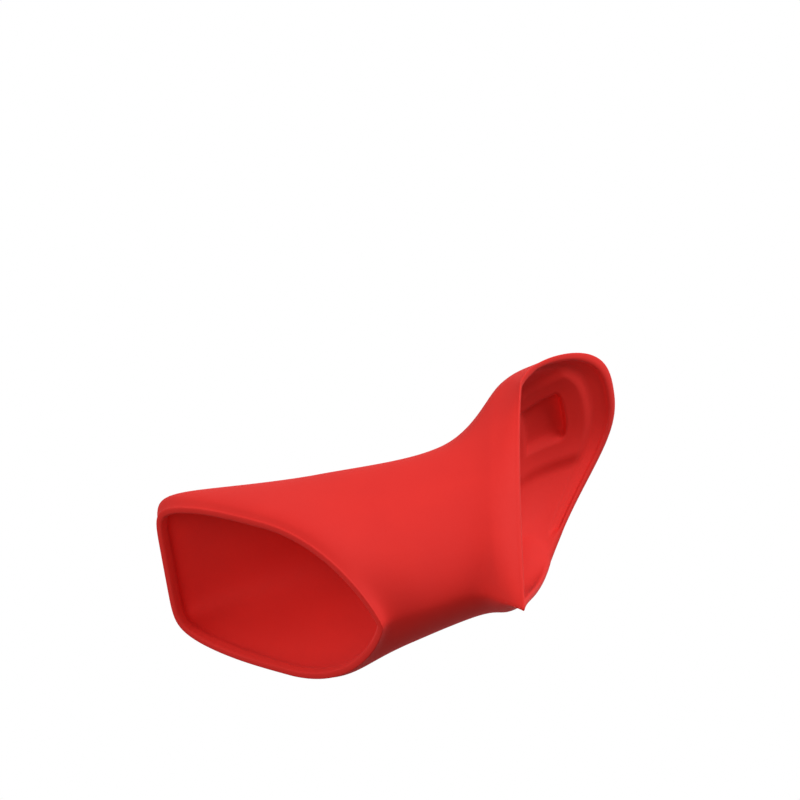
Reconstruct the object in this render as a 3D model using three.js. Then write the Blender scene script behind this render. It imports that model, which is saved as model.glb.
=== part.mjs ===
// Brake lever hood: one moulded rubber sleeve for the lever body of a drop handlebar.
// It is open at both ends. The rear mouth meets the handlebar, the throat is what the hand
// holds, the horn rises at the front, and the lever comes out of the front mouth.
//
// Frame, in millimetres: +X runs forward along the lever body, +Z up, and Y = 0 is the
// plane of symmetry. The origin is the centre of the rear mouth.

import * as THREE from "three";

// Wall, and how it thins towards both mouths, apart from the tip of the horn
const wall = 2.2;
const rearEdgeWall = 1.4;
const frontEdgeWall = 1.4;
const rearThinTo = 0.12; // shares of the way from the rear mouth to the front mouth
const frontThinFrom = 0.8;
const tipFrom = 0.75; // share of the way round from the keel to the crown

// Rear mouth, a flat ring that leans back over the handlebar
const mouthLength = 60.9;
const mouthWidth = 37.1;
const mouthLean = -48.4;

// Lip, where the skin turns into the mouth
const lipForward = 3;
const lipRise = 4.7;
const lipHeight = 62.3;
const lipWidth = 39.3;
const lipLean = -45.2;
const lipBend = -0.7;

// Grip, under the palm
const gripForward = 20;
const gripRise = 7.6;
const gripHeight = 51.3;
const gripWidth = 34.8;
const gripLean = -26.5;
const gripBend = 1.8;

// Throat, under the thumb, the narrowest place
const throatForward = 40.5;
const throatRise = 12.6;
const throatHeight = 49.5;
const throatWidth = 32.5;
const throatLean = -5.1;
const throatBend = 1.7;

// Back of the horn
const hornForward = 53.1;
const hornRise = 22.2;
const hornHeight = 78.8;
const hornWidth = 38.4;
const hornLean = 6.9;
const hornBend = -2.1;

// Front mouth, around the lever
const frontForward = 64.9;
const frontRise = 24.2;
const frontHeight = 95.7;
const frontWidth = 44.1;
const frontLean = 14.8;
const frontBend = -9.7;

// Seat pad inside the roof of the horn, and the pocket in it
const padHeight = 1.6;
const padFrom = 0.72; // shares of the way from the rear mouth to the front mouth
const padTo = 0.94;
const padSpread = 0.055; // shares of the way round, from the crown to each side
const pocketFrom = 0.8;
const pocketTo = 0.885;
const pocketSpread = 0.024;
const softEdge = 0.02;

// Fineness of the skins
const stepsAlong = 34;
const stepsPerSide = 26;
const samplesPerSide = 240;
const slopeStep = 0.01;
const leastInPlane = 0.5; // keeps a steep place from pushing the inner skin too far

const rubberRed = 0xe23028;

// How each section closes: the share of its height at which it is widest, how its sides meet at
// the bottom (keel) and at the top (crown), where 1 is round, more is pointed and less is
// blunt, and how full they are below and above the widest place, where 2 is an ellipse,
// more is boxy and 1 is straight.
const mouthForm = { widest: 0.48, keel: 1.45, crown: 0.3, keelFull: 1.7, crownFull: 3.7 };
const lipForm = { widest: 0.49, keel: 1.38, crown: 0.3, keelFull: 2, crownFull: 2.8 };
const gripForm = { widest: 0.6, keel: 1.21, crown: 0.63, keelFull: 2, crownFull: 2.3 };
const throatForm = { widest: 0.67, keel: 1.26, crown: 0.84, keelFull: 1.9, crownFull: 2.2 };
const hornForm = { widest: 0.73, keel: 1.56, crown: 0.91, keelFull: 2, crownFull: 1.8 };
const frontForm = { widest: 0.62, keel: 2.2, crown: 0.84, keelFull: 1.2, crownFull: 1.8 };

const sections = [
  section(0, 0, mouthLean, mouthLength, mouthWidth, 0, mouthForm),
  section(lipForward, lipRise, lipLean, lipHeight, lipWidth, lipBend, lipForm),
  section(gripForward, gripRise, gripLean, gripHeight, gripWidth, gripBend, gripForm),
  section(throatForward, throatRise, throatLean, throatHeight, throatWidth, throatBend, throatForm),
  section(hornForward, hornRise, hornLean, hornHeight, hornWidth, hornBend, hornForm),
  section(frontForward, frontRise, frontLean, frontHeight, frontWidth, frontBend, frontForm),
];

// A section stands at (forward, rise) on the plane of symmetry and leans by an angle from
// upright, forward positive. The bend is how far its sides stand forward of its plane.
function section(forward, rise, leanDegrees, height, width, bend, form) {
  const lean = THREE.MathUtils.degToRad(leanDegrees);
  const reachX = (height / 2) * Math.sin(lean);
  const reachZ = (height / 2) * Math.cos(lean);
  return {
    topX: forward + reachX,
    topZ: rise + reachZ,
    bottomX: forward - reachX,
    bottomZ: rise - reachZ,
    halfWidth: width / 2,
    bend,
    ...form,
  };
}

// A Catmull-Rom curve through one value of every section, straight past both ends.
function blend(key, along) {
  const last = sections.length - 1;
  const place = Math.min(along * last, last - 1e-9);
  const i = Math.floor(place);
  const t = place - i;
  const b = sections[i][key];
  const c = sections[i + 1][key];
  const a = i > 0 ? sections[i - 1][key] : 2 * b - c;
  const d = i + 2 <= last ? sections[i + 2][key] : 2 * c - b;
  return b + 0.5 * t * (c - a + t * (2 * a - 5 * b + 4 * c - d + t * (3 * (b - c) + d - a)));
}

// The section at a share of the way along, with its own up and forward directions.
function sectionAt(along) {
  const s = {};
  for (const key of Object.keys(sections[0])) s[key] = blend(key, along);
  const bottom = new THREE.Vector3(s.bottomX, 0, s.bottomZ);
  const span = new THREE.Vector3(s.topX, 0, s.topZ).sub(bottom);
  const up = span.clone().normalize();
  const forward = new THREE.Vector3(up.z, 0, -up.x);
  return { ...s, bottom, height: span.length(), up, forward };
}

// A point of the near half of a section: the turn runs from 0 at the keel to pi at the crown.
// The bend is greatest where the section is widest, and there is none at the keel and crown.
function outerPoint(s, turn) {
  const cos = Math.cos(turn);
  const low = cos > 0;
  const height = s.height * (s.widest - (low ? s.widest : 1 - s.widest) * cos);
  const full = low ? s.keelFull : s.crownFull;
  const roundness = s.keel + ((s.crown - s.keel) * (1 - cos)) / 2;
  const side = s.halfWidth * (1 - Math.abs(cos) ** full) ** (roundness / 2);
  const bendShare = low ? (1 - cos) * (1 + (s.keelFull - 1) * cos) : 1 - cos ** 2;
  return s.bottom
    .clone()
    .addScaledVector(s.up, height)
    .addScaledVector(s.forward, s.bend * bendShare)
    .setY(-side);
}

// The skin's outward direction at a point, from its slopes round and along.
function outwardAt(along, turn) {
  const before = sectionAt(Math.max(along - slopeStep, 0));
  const after = sectionAt(Math.min(along + slopeStep, 1));
  const here = sectionAt(along);
  const onward = outerPoint(after, turn).sub(outerPoint(before, turn));
  const around = outerPoint(here, Math.min(turn + slopeStep, Math.PI));
  around.sub(outerPoint(here, Math.max(turn - slopeStep, 0)));
  return onward.cross(around).normalize();
}

// The depth of the wall, square to the skin.
function wallAt(along, turn) {
  const nearRear = 1 - THREE.MathUtils.smoothstep(along, 0, rearThinTo);
  const nearFront = THREE.MathUtils.smoothstep(along, frontThinFrom, 1);
  const nearTip = THREE.MathUtils.smoothstep(turn / Math.PI, tipFrom, 1);
  return wall + (rearEdgeWall - wall) * nearRear + (frontEdgeWall - wall) * nearFront * (1 - nearTip);
}

// The inner skin's point: moved in within the section until the wall has its depth.
function innerPoint(s, along, turn) {
  const inPlane = outwardAt(along, turn);
  inPlane.addScaledVector(s.forward, -inPlane.dot(s.forward));
  const share = Math.max(inPlane.length(), leastInPlane);
  return outerPoint(s, turn).addScaledVector(inPlane, -wallAt(along, turn) / share ** 2);
}

// Cuts a line of near-side points off at both ends where it meets the plane of symmetry.
function trimmed(points) {
  const first = points.findIndex((p, i) => i > 0 && p.y < 0);
  const last = points.findLastIndex((p, i) => i < points.length - 1 && p.y < 0);
  return [
    meeting(points[first], points[first - 1]),
    ...points.slice(first, last + 1),
    meeting(points[last], points[last + 1]),
  ];
}

function meeting(inside, beyond) {
  const share = beyond.y > 0 ? inside.y / (inside.y - beyond.y) : 1;
  return inside.clone().lerp(beyond, share).setY(0);
}

// A whole ring of evenly spaced points, from the keel up the near side and down the far side.
function ring(pointAt) {
  const turns = Array.from({ length: samplesPerSide + 1 }, (_, i) => (Math.PI * i) / samplesPerSide);
  const fine = trimmed(turns.map(pointAt));
  const lengths = [0];
  for (let i = 1; i < fine.length; i++) lengths.push(lengths[i - 1] + fine[i].distanceTo(fine[i - 1]));
  const near = [];
  let i = 0;
  for (let k = 0; k <= stepsPerSide; k++) {
    const wanted = (lengths.at(-1) * k) / stepsPerSide;
    while (i < fine.length - 2 && lengths[i + 1] < wanted) i++;
    const t = (wanted - lengths[i]) / (lengths[i + 1] - lengths[i]);
    near.push(fine[i].clone().lerp(fine[i + 1], t));
  }
  const far = near.slice(1, stepsPerSide).reverse();
  return [...near, ...far.map((p) => new THREE.Vector3(p.x, -p.y, p.z))];
}

// 1 between two edges and 0 outside them, with a soft ramp.
function window(value, from, to, ramp) {
  const rise = THREE.MathUtils.smoothstep(value, from - ramp, from);
  const fall = THREE.MathUtils.smoothstep(value, to, to + ramp);
  return rise * (1 - fall);
}

// 1 inside a patch of the roof, with a soft edge all round.
function patch(along, fromCrown, from, to, spread) {
  return window(along, from, to, softEdge) * window(fromCrown, -1, spread, softEdge);
}

// How far the seat pad stands in from the inner skin, with its pocket left out.
function padAt(along, fromCrown) {
  const pad = patch(along, fromCrown, padFrom, padTo, padSpread);
  const pocket = patch(along, fromCrown, pocketFrom, pocketTo, pocketSpread);
  return padHeight * pad * (1 - pocket);
}

function outerRing(along) {
  const s = sectionAt(along);
  return ring((turn) => outerPoint(s, turn));
}

function innerRing(along) {
  const s = sectionAt(along);
  const skin = ring((turn) => innerPoint(s, along, turn));
  return skin.map((point, k) => {
    const fromCrown = Math.abs(k / skin.length - 0.5);
    return point.addScaledVector(s.up, -padAt(along, fromCrown));
  });
}

// A closed sleeve: the outer skin, the inner skin and the ring of wall at each mouth.
function sleeve() {
  const shares = Array.from({ length: stepsAlong + 1 }, (_, row) => row / stepsAlong);
  const outer = shares.map(outerRing);
  const inner = shares.map(innerRing).reverse();
  const loops = [...outer, ...inner];
  const round = loops[0].length;
  const positions = loops.flat().flatMap((p) => [p.x, p.y, p.z]);
  const faces = [];
  loops.forEach((loop, row) => {
    const nextRow = (row + 1) % loops.length;
    loop.forEach((_, k) => {
      const a = row * round + k;
      const b = row * round + ((k + 1) % round);
      const c = nextRow * round + ((k + 1) % round);
      const d = nextRow * round + k;
      faces.push(a, c, b, a, d, c);
    });
  });
  const geometry = new THREE.BufferGeometry();
  geometry.setAttribute("position", new THREE.Float32BufferAttribute(positions, 3));
  geometry.setIndex(faces);
  geometry.computeVertexNormals();
  return geometry;
}

const rubber = new THREE.MeshStandardMaterial({ color: rubberRed, roughness: 0.7, metalness: 0 });
const hoodSleeve = new THREE.Mesh(sleeve(), rubber);
hoodSleeve.name = "hood_sleeve";

const hood = new THREE.Group();
hood.add(hoodSleeve);
export default hood;
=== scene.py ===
import math

import bpy
import numpy as np
from mathutils import Matrix, Vector


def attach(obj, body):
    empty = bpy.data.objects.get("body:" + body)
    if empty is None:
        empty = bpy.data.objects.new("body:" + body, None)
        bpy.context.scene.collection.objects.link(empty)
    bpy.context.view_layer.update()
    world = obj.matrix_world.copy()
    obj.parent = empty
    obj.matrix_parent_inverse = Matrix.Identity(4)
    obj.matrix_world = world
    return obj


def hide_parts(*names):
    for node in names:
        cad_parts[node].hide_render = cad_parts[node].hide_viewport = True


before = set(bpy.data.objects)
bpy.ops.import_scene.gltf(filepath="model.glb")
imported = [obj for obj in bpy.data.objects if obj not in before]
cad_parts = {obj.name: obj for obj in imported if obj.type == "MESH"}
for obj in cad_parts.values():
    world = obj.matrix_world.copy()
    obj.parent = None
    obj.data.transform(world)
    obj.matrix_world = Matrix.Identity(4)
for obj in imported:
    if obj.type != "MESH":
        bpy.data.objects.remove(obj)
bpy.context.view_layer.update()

# Sizes are in millimetres and are turned into metres where the scene takes them.
METRES = 0.001

# The hood's sections from the rear mouth to the front mouth. Each one stands at (forward, rise)
# on the plane of symmetry and leans by an angle from upright, forward positive. The bend is how
# far its sides stand forward of its plane. It is an egg: the share of its height at which it is
# widest, then how its sides close at the bottom (keel) and at the top (crown), where 1 is round,
# more is pointed and less is blunt, then how full it is below and above the widest place, where
# 2 is an ellipse, more is boxy and 1 is straight.
SECTIONS = (
    # forward, rise, lean in degrees, height, width, bend, widest, keel, crown, keel full, crown full
    (0.0, 0.0, -48.4, 60.9, 37.1, 0.0, 0.48, 1.45, 0.30, 1.7, 3.7),
    (3.0, 4.7, -45.2, 62.3, 39.3, -0.7, 0.49, 1.38, 0.30, 2.0, 2.8),
    (20.0, 7.6, -26.5, 51.3, 34.8, 1.8, 0.60, 1.21, 0.63, 2.0, 2.3),
    (40.5, 12.6, -5.1, 49.5, 32.5, 1.7, 0.67, 1.26, 0.84, 1.9, 2.2),
    (53.1, 22.2, 6.9, 78.8, 38.4, -2.1, 0.73, 1.56, 0.91, 2.0, 1.8),
    (64.9, 24.2, 14.8, 95.7, 44.1, -9.7, 0.62, 2.20, 0.84, 1.2, 1.8),
)

# The wall, and how it thins towards both mouths, apart from the tip of the horn
WALL = 2.2
REAR_EDGE_WALL = 1.4
FRONT_EDGE_WALL = 1.4
REAR_THIN_TO = 0.12
FRONT_THIN_FROM = 0.8
TIP_FROM = 0.75

# The skin's slope is taken over a step each way, along and round. Where less than the least share
# of its outward direction lies in the section, the wall is worked out as if that share did.
SLOPE_STEP = 0.01
LEAST_IN_PLANE = 0.5

# The length of skin that the rounded edge of a mouth takes up, how square it is (1 is round), the
# share of the wall from the outer skin at which it ends, and how far the front one stands out
EDGE_LENGTH = 0.5
EDGE_SQUARENESS = 0.6
EDGE_CREST = 0.35
FRONT_EDGE_OUT = 0.4

# Fineness of the mesh: the skins are worked out in fine rows and kept in fewer
FINE_ROWS = 720
ROWS_ALONG = 200
POINTS_PER_SIDE = 96
TURN_SAMPLES = 420
EDGE_ROWS = 9

# Seat pad inside the roof of the horn, the pocket in it, and the groove between the pad and the
# front mouth. Shares are of the way along, and of the way round to each side of the crown.
PAD_HEIGHT = 1.6
PAD_ALONG = (0.72, 0.94)
PAD_SPREAD = 0.055
PAD_EDGE = 0.018
POCKET_DEPTH = 2.4
POCKET_ALONG = (0.80, 0.885)
POCKET_SPREAD = 0.024
POCKET_EDGE = 0.008
GROOVE_DEPTH = 0.8
GROOVE_ALONG = (0.955, 0.985)
GROOVE_SPREAD = 0.16
GROOVE_EDGE = 0.014

# The rubber: two reds that cloud into each other, between two levels of the clouds, and a grain
# whose low and high places are a little less and a little more rough
REDS = ("#DF190F", "#E31C11")
CLOUD_SIZE = 12.0
CLOUD_LEVELS = (0.3, 0.7)
GRAIN_SIZE = 0.35
GRAIN_DEPTH = 0.04
GRAIN_STRENGTH = 0.25
ROUGHNESS = (0.76, 0.9)
RUBBER_IOR = 1.5

# The camera stands below the hood and a little in front of its near side, turned on its axis.
# The field is the width of the picture at the hood.
CAMERA_AZIMUTH = 4.24
CAMERA_BELOW = 62.18
CAMERA_TURN = 5.13
CAMERA_DISTANCE = 2400.0
CAMERA_REACH = 20000.0
FIELD = 169.5
SENSOR = 36.0
# From the rear mouth's centre to the middle of the picture, to the right and up
AIM_RIGHT = 27.1
AIM_UP = 42.1

# Three soft boxes, in metres from the hood, and the light of the room
KEY_PLACE = (0.75, -0.6, 0.25)
KEY_WATTS = 9.0
REAR_PLACE = (-0.85, -0.5, 0.05)
REAR_WATTS = 4.5
FILL_PLACE = (-0.05, -0.5, -0.86)
FILL_WATTS = 4.2
LAMP_SIZE = 0.7
ROOM_LIGHT = 0.05


def spline(values, along):
    """Catmull-Rom curve through evenly spaced values, and straight past both ends."""
    last = len(values) - 1
    padded = np.concatenate([[2 * values[0] - values[1]], values, [2 * values[-1] - values[-2]]])
    place = np.clip(along * last, 0, last - 1e-9)
    i = place.astype(int)
    t = place - i
    a, b, c, d = padded[i], padded[i + 1], padded[i + 2], padded[i + 3]
    return b + 0.5 * t * (c - a + t * (2 * a - 5 * b + 4 * c - d + t * (3 * (b - c) + d - a)))


def smooth_step(value, low, high):
    t = np.clip((value - low) / (high - low), 0, 1)
    return t * t * (3 - 2 * t)


def window(value, low, high, soft):
    """1 between low and high, falling smoothly to 0 over a width of soft outside them."""
    return smooth_step(value, low - soft, low) * (1 - smooth_step(value, high, high + soft))


def section_at(along):
    """The blended section: its bottom and top points follow two splines on the symmetry plane."""
    forward, rise, lean, height, width, bend, widest, *shape = np.array(SECTIONS).T
    keel, crown, keel_full, crown_full = shape
    reach_x = height / 2 * np.sin(np.radians(lean))
    reach_z = height / 2 * np.cos(np.radians(lean))
    bottom_x = spline(forward - reach_x, along)
    bottom_z = spline(rise - reach_z, along)
    span_x = spline(forward + reach_x, along) - bottom_x
    span_z = spline(rise + reach_z, along) - bottom_z
    tall = np.hypot(span_x, span_z)
    zero = np.zeros_like(tall)
    up = np.stack([span_x / tall, zero, span_z / tall], axis=-1)
    return {
        "bottom": np.stack([bottom_x, zero, bottom_z], axis=-1),
        "up": up,
        "forward": np.stack([up[..., 2], zero, -up[..., 0]], axis=-1),
        "height": tall,
        "half_width": spline(width / 2, along),
        "widest": spline(widest, along),
        "keel": spline(keel, along),
        "crown": spline(crown, along),
        "bend": spline(bend, along),
        "keel_full": spline(keel_full, along),
        "crown_full": spline(crown_full, along),
    }


def outer_skin(along, turn):
    """The near half of the outer skin, at a turn from 0 at the keel to pi at the crown. The height
    above the section's bottom follows the cosine. The distance out from the symmetry plane is one
    less the cosine's size raised to the fullness, all raised to half the roundness. The bend grows
    from the keel to the widest place, in a straight line where the section is straight there, and
    falls off to the crown as the squared sine."""
    s = section_at(along)
    cosine = np.cos(turn)
    low = cosine > 0
    height = s["height"] * (s["widest"] - np.where(low, s["widest"], 1 - s["widest"]) * cosine)
    full = np.where(low, s["keel_full"], s["crown_full"])
    roundness = s["keel"] + (s["crown"] - s["keel"]) * (1 - cosine) / 2
    side = s["half_width"] * np.maximum(1 - np.abs(cosine) ** full, 0) ** (roundness / 2)
    low_share = (1 - cosine) * (1 + (s["keel_full"] - 1) * cosine)
    bend = s["bend"] * np.where(low, low_share, 1 - cosine**2)
    points = s["bottom"] + s["up"] * height[..., None] + s["forward"] * bend[..., None]
    points[..., 1] = -side
    return points


def wall_at(along, turn):
    """The depth of the wall, square to the skin: thin at both mouths, and full at the horn's tip."""
    near_rear = 1 - smooth_step(along, 0, REAR_THIN_TO)
    near_front = smooth_step(along, FRONT_THIN_FROM, 1) * (1 - smooth_step(turn / np.pi, TIP_FROM, 1))
    return WALL + (REAR_EDGE_WALL - WALL) * near_rear + (FRONT_EDGE_WALL - WALL) * near_front


def inner_skin(along, turn):
    """The near half of the inner skin: the outer skin moved in within its section until the wall,
    measured square to the skin, has its depth."""
    onward = outer_skin(np.minimum(along + SLOPE_STEP, 1), turn)
    onward = onward - outer_skin(np.maximum(along - SLOPE_STEP, 0), turn)
    around = outer_skin(along, np.minimum(turn + SLOPE_STEP, np.pi))
    around = around - outer_skin(along, np.maximum(turn - SLOPE_STEP, 0))
    outward = np.cross(onward, around)
    outward /= np.linalg.norm(outward, axis=-1, keepdims=True)
    forward = section_at(along)["forward"]
    outward -= forward * np.sum(outward * forward, axis=-1, keepdims=True)
    share = np.maximum(np.linalg.norm(outward, axis=-1), LEAST_IN_PLANE)
    return outer_skin(along, turn) - outward * (wall_at(along, turn) / share**2)[..., None]


def meeting(inside, beyond):
    """Where the line between two neighbouring points meets the plane of symmetry."""
    share = inside[1] / (inside[1] - beyond[1]) if beyond[1] > 0 else 1
    point = inside + (beyond - inside) * share
    point[1] = 0
    return point


def evenly(line):
    """A half ring cut off at the plane of symmetry and spaced evenly by its length."""
    near = np.nonzero(line[:, 1] < 0)[0]
    first = near[near > 0][0]
    last = near[near < len(line) - 1][-1]
    start = meeting(line[first], line[first - 1])
    end = meeting(line[last], line[last + 1])
    line = np.vstack([start, line[first : last + 1], end])
    lengths = np.concatenate([[0], np.cumsum(np.linalg.norm(np.diff(line, axis=0), axis=1))])
    wanted = np.linspace(0, lengths[-1], POINTS_PER_SIDE + 1)
    return np.stack([np.interp(wanted, lengths, line[:, axis]) for axis in range(3)], axis=-1)


def rings(skin, along):
    """Whole rings of a skin, a row for each share along, from the keel round both sides."""
    turn = np.linspace(0, np.pi, TURN_SAMPLES)
    halves = np.stack([evenly(line) for line in skin(*np.meshgrid(along, turn, indexing="ij"))])
    mirrored = halves[:, 1:-1][:, ::-1] * (1, -1, 1)
    return np.concatenate([halves, mirrored], axis=1)


def cut_back(rows, plain):
    """The same skin in fewer rows, evenly spaced by the length down each column of the plain skin,
    which has no relief, and stopping short of both ends by the length of a rounded edge."""
    steps = np.linalg.norm(np.diff(plain, axis=0), axis=-1)
    lengths = np.vstack([np.zeros(rows.shape[1]), np.cumsum(steps, axis=0)])
    cut = np.empty((ROWS_ALONG, *rows.shape[1:]))
    for column, length in enumerate(lengths.T):
        wanted = np.linspace(EDGE_LENGTH, length[-1] - EDGE_LENGTH, ROWS_ALONG)
        for axis in range(3):
            cut[:, column, axis] = np.interp(wanted, length, rows[:, column, axis])
    return cut


def patch(along, from_crown, span, spread, soft):
    """1 inside a span along and a spread to each side of the crown, with a soft edge all round."""
    return window(along, *span, soft) * (1 - smooth_step(from_crown, spread, spread + soft))


def roof_relief(along, from_crown):
    """How far the roof of the horn stands into the hollow: a pad with a pocket in it, and a groove
    between the pad and the edge of the front mouth."""
    pad = patch(along, from_crown, PAD_ALONG, PAD_SPREAD, PAD_EDGE)
    pocket = patch(along, from_crown, POCKET_ALONG, POCKET_SPREAD, POCKET_EDGE)
    groove = patch(along, from_crown, GROOVE_ALONG, GROOVE_SPREAD, GROOVE_EDGE)
    return PAD_HEIGHT * pad - POCKET_DEPTH * pocket - GROOVE_DEPTH * groove


def edge_rows(first, second, end):
    """Rows over a mouth's edge: from the first ring to the second one, standing out to the end
    ring between them, along a rounded square whose cosine and sine are raised to one power."""
    turn = np.linspace(0, np.pi, EDGE_ROWS + 2)[1:-1, None, None]
    across = np.sign(np.cos(turn)) * np.abs(np.cos(turn)) ** EDGE_SQUARENESS
    out = np.sin(turn) ** EDGE_SQUARENESS
    middle = (first + second) / 2
    return middle + (first - second) / 2 * across + (end - middle) * out


def sleeve_points():
    """The closed sleeve as one grid: the outer skin, over the front edge, back along the inner
    skin, and over the rear edge."""
    along = np.linspace(0, 1, FINE_ROWS)
    outer = rings(outer_skin, along)
    plain = rings(inner_skin, along)
    around = np.arange(outer.shape[1]) / outer.shape[1]
    inward = plain - outer
    inward /= np.linalg.norm(inward, axis=-1, keepdims=True)
    inner = plain + inward * roof_relief(along[:, None], np.abs(around - 0.5)[None, :])[..., None]
    crest = outer + (inner - outer) * EDGE_CREST
    onward = crest[-1] - crest[-3]
    onward /= np.linalg.norm(onward, axis=-1, keepdims=True)
    front_end = crest[-1] + onward * FRONT_EDGE_OUT
    outer = cut_back(outer, outer)
    inner = cut_back(inner, plain)
    over_front = edge_rows(outer[-1], inner[-1], front_end)
    over_rear = edge_rows(inner[0], outer[0], crest[0])
    return np.concatenate([outer, over_front, inner[::-1], over_rear])


def closed_grid(name, points):
    """A mesh object from a grid of points that closes on itself both ways."""
    rows, columns = points.shape[:2]
    row, column = np.meshgrid(np.arange(rows), np.arange(columns), indexing="ij")
    next_row = (row + 1) % rows
    next_column = (column + 1) % columns
    corners = [row * columns + column, next_row * columns + column]
    corners += [next_row * columns + next_column, row * columns + next_column]
    faces = np.stack(corners, axis=-1).reshape(-1, 4)
    mesh = bpy.data.meshes.new(name)
    mesh.from_pydata((points * METRES).reshape(-1, 3), [], faces.tolist())
    mesh.polygons.foreach_set("use_smooth", np.ones(len(faces), dtype=bool))
    mesh.update()
    piece = bpy.data.objects.new(name, mesh)
    bpy.context.collection.objects.link(piece)
    return piece


def linear(hex_colour):
    """A colour written as sRGB hex, as the linear colour that the shaders take."""
    channels = [int(hex_colour[i : i + 2], 16) / 255 for i in (1, 3, 5)]
    return tuple(c / 12.92 if c <= 0.04045 else ((c + 0.055) / 1.055) ** 2.4 for c in channels) + (1,)


def add_node(tree, kind, settings=None, **inputs):
    """Adds a node, sets its options, and sets or links its inputs by name or by number."""
    node = tree.nodes.new(kind)
    for key, value in (settings or {}).items():
        setattr(node, key, value)
    for key, value in inputs.items():
        socket = node.inputs[int(key[1:])] if key[1:].isdigit() else node.inputs[key.replace("_", " ")]
        if isinstance(value, bpy.types.NodeSocket):
            tree.links.new(value, socket)
        else:
            socket.default_value = value
    return node


def red_rubber():
    """Thermoplastic rubber, moulded in one shot in a spark-eroded mould and coloured through.
    The eye gets a flat, slightly waxy red: a fine matt grain breaks up every highlight, and the
    colour clouds a little where the rubber flowed and cooled at different speeds."""
    material = bpy.data.materials.new("red_rubber")
    material.use_nodes = True
    tree = material.node_tree
    shader = tree.nodes["Principled BSDF"]
    place = add_node(tree, "ShaderNodeTexCoord").outputs["Object"]
    # A noise takes the number of its features in a metre.
    grain_scale = 1 / (GRAIN_SIZE * METRES)
    cloud_scale = 1 / (CLOUD_SIZE * METRES)
    grain = add_node(
        tree, "ShaderNodeTexNoise", Vector=place, Scale=grain_scale, Detail=3.0, Roughness=0.6
    ).outputs["Fac"]
    clouds = add_node(tree, "ShaderNodeTexNoise", Vector=place, Scale=cloud_scale, Detail=2.0)
    colour = add_node(tree, "ShaderNodeValToRGB", Fac=clouds.outputs["Fac"])
    for stop, level, red in zip(colour.color_ramp.elements, CLOUD_LEVELS, REDS):
        stop.position = level
        stop.color = linear(red)
    tree.links.new(colour.outputs["Color"], shader.inputs["Base Color"])
    least, most = ROUGHNESS
    matt = add_node(tree, "ShaderNodeMapRange", Value=grain, To_Min=least, To_Max=most)
    tree.links.new(matt.outputs["Result"], shader.inputs["Roughness"])
    depth = GRAIN_DEPTH * METRES
    bump = add_node(tree, "ShaderNodeBump", Strength=GRAIN_STRENGTH, Distance=depth, Height=grain)
    tree.links.new(bump.outputs["Normal"], shader.inputs["Normal"])
    shader.inputs["IOR"].default_value = RUBBER_IOR
    return material


def hood():
    piece = closed_grid("hood_rubber", sleeve_points())
    piece.data.materials.append(red_rubber())
    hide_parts("hood_sleeve")
    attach(piece, "root")


def camera_axes():
    """The picture's right, up and back directions: the camera looks at the hood from below, from
    an azimuth a little to the front, and is turned on its own axis."""
    azimuth, below, turn = (math.radians(a) for a in (CAMERA_AZIMUTH, CAMERA_BELOW, CAMERA_TURN))
    right = Vector((math.cos(azimuth), math.sin(azimuth), 0))
    back = Vector((math.sin(azimuth), -math.cos(azimuth), 0)) * math.cos(below)
    back += Vector((0, 0, -math.sin(below)))
    up = back.cross(right)
    turned_right = right * math.cos(turn) - up * math.sin(turn)
    turned_up = right * math.sin(turn) + up * math.cos(turn)
    return turned_right, turned_up, back


def add_camera():
    right, up, back = camera_axes()
    data = bpy.data.cameras.new("camera")
    data.sensor_width = SENSOR
    data.lens = SENSOR * CAMERA_DISTANCE / FIELD
    data.clip_end = CAMERA_REACH * METRES
    camera = bpy.data.objects.new("camera", data)
    aim = right * AIM_RIGHT + up * AIM_UP
    camera.location = (aim + back * CAMERA_DISTANCE) * METRES
    camera.rotation_euler = Matrix((right, up, back)).transposed().to_euler()
    bpy.context.collection.objects.link(camera)
    bpy.context.scene.camera = camera


def add_lamp(name, place, watts):
    """A square soft box that faces the hood from a place in metres."""
    data = bpy.data.lights.new(name, "AREA")
    data.size = LAMP_SIZE
    data.energy = watts
    lamp = bpy.data.objects.new(name, data)
    lamp.location = Vector(place)
    lamp.rotation_euler = Vector(place).to_track_quat("Z", "Y").to_euler()
    bpy.context.collection.objects.link(lamp)


def add_world():
    """Weak even light from the room, with plain white where the hood is looked past or mirrors
    the room."""
    world = bpy.data.worlds.new("studio")
    world.use_nodes = True
    bpy.context.scene.world = world
    tree = world.node_tree
    tree.nodes.clear()
    light = add_node(tree, "ShaderNodeBackground", Color=linear("#FFFFFF"), Strength=ROOM_LIGHT)
    white = add_node(tree, "ShaderNodeBackground", Color=linear("#FFFFFF"), Strength=1.0)
    rays = add_node(tree, "ShaderNodeLightPath").outputs
    larger = {"operation": "MAXIMUM"}
    seen = add_node(tree, "ShaderNodeMath", larger, _0=rays["Is Camera Ray"], _1=rays["Is Glossy Ray"])
    seen = add_node(tree, "ShaderNodeMath", larger, _0=seen.outputs[0], _1=rays["Is Transmission Ray"])
    shown = add_node(
        tree, "ShaderNodeMixShader", _0=seen.outputs[0], _1=light.outputs[0], _2=white.outputs[0]
    )
    add_node(tree, "ShaderNodeOutputWorld", Surface=shown.outputs[0])


add_camera()
hood()
add_world()
add_lamp("key", KEY_PLACE, KEY_WATTS)
add_lamp("rear", REAR_PLACE, REAR_WATTS)
add_lamp("fill", FILL_PLACE, FILL_WATTS)
bpy.context.scene.view_settings.view_transform = "Standard"
